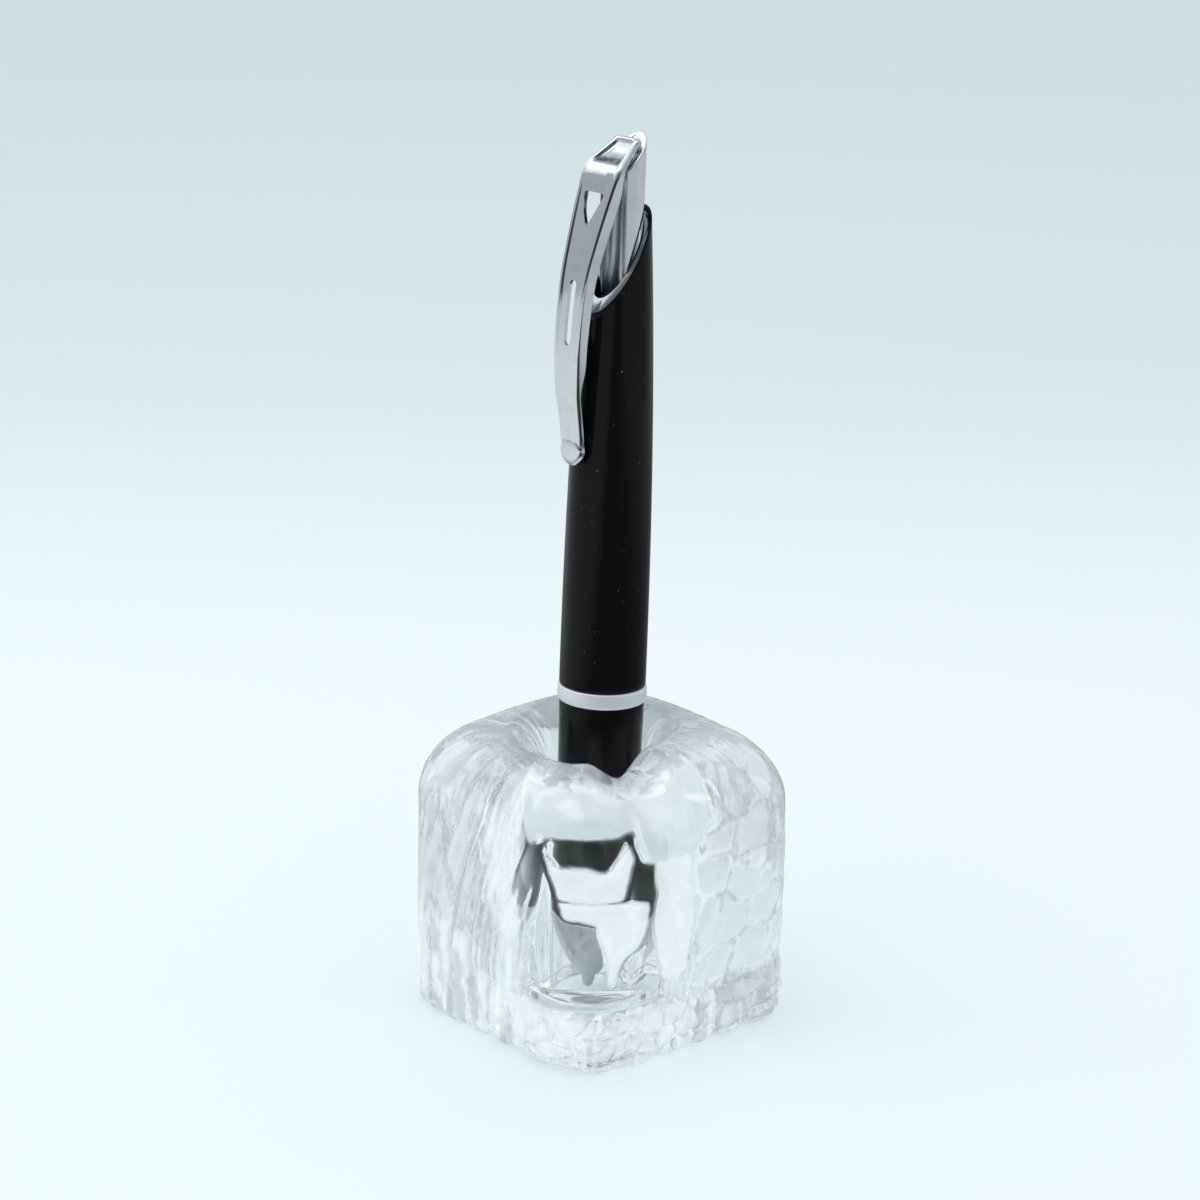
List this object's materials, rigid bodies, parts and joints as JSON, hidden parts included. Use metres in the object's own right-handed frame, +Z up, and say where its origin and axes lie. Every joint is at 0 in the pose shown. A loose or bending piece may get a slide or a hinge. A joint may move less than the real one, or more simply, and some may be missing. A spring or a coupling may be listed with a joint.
{
  "type": "pen holder",
  "caption": "Clear cast-glass block with wavy walls, a funnel mouth and a blind bore, holding a black and chrome twist pen with a spring clip.",
  "frame": {"origin": "centre of the block's outline on its flat base", "axes": "+Z up along the standing object; the pictured corner of the block points between +X and -Y and the clip points close to -Y"},
  "size_m": [0.045, 0.0452, 0.1317],
  "materials": {
    "clear_glass": "clear, fire-polished, cast texture",
    "black_lacquer": "high gloss",
    "chrome": "bright polished",
    "satin_chrome": "satin",
    "silver": "satin plated",
    "brass": "turned",
    "spring_steel": "drawn wire",
    "white_plastic": "moulded acetal",
    "grey_plastic": "moulded"
  },
  "bodies": {
    "holder": {"glass_block": "clear_glass"},
    "pen": {"lower_barrel": "black_lacquer", "front_bush": "brass", "nose_cone": "silver", "rear_bush": "brass", "mechanism_housing": "brass", "return_spring": "spring_steel"},
    "pen_top": {"upper_barrel": "black_lacquer", "centre_ring": "satin_chrome", "drive_plug": "grey_plastic", "twist_cam": "white_plastic", "cap_tube": "chrome"},
    "pen_clip": {"clip": "chrome"},
    "refill": {"refill_ball": "chrome", "refill_tip": "silver", "refill_tube": "brass", "refill_crown": "grey_plastic", "cam_carrier": "white_plastic"}
  },
  "joints": [
    {"name": "pen_lift", "type": "slide", "parent": "holder", "child": "pen", "axis": [0.024, 0.0277, 0.9993], "range_m": [0, 0.048]},
    {"name": "twist", "type": "hinge", "parent": "pen", "child": "pen_top", "pos_m": [-0.00008, 0.00011, 0.04842], "axis": [0.024, 0.0277, 0.9993], "range_deg": [0, 180]},
    {"name": "clip_flex", "type": "hinge", "parent": "pen_top", "child": "pen_clip", "pos_m": [0.002, 0.00438, 0.13036], "axis": [-0.9984, 0.0526, 0.0226], "range_deg": [0, 4], "stiffness_Nm_per_rad": 0.5},
    {"name": "refill_feed", "type": "slide", "parent": "pen", "child": "refill", "axis": [0.024, 0.0277, 0.9993], "range_m": [0, 0.00501], "deforming": ["return_spring"]}
  ],
  "couplings": [
    {"joint": "refill_feed", "follows": "twist", "m_per_rad": 0.0015915}
  ]
}
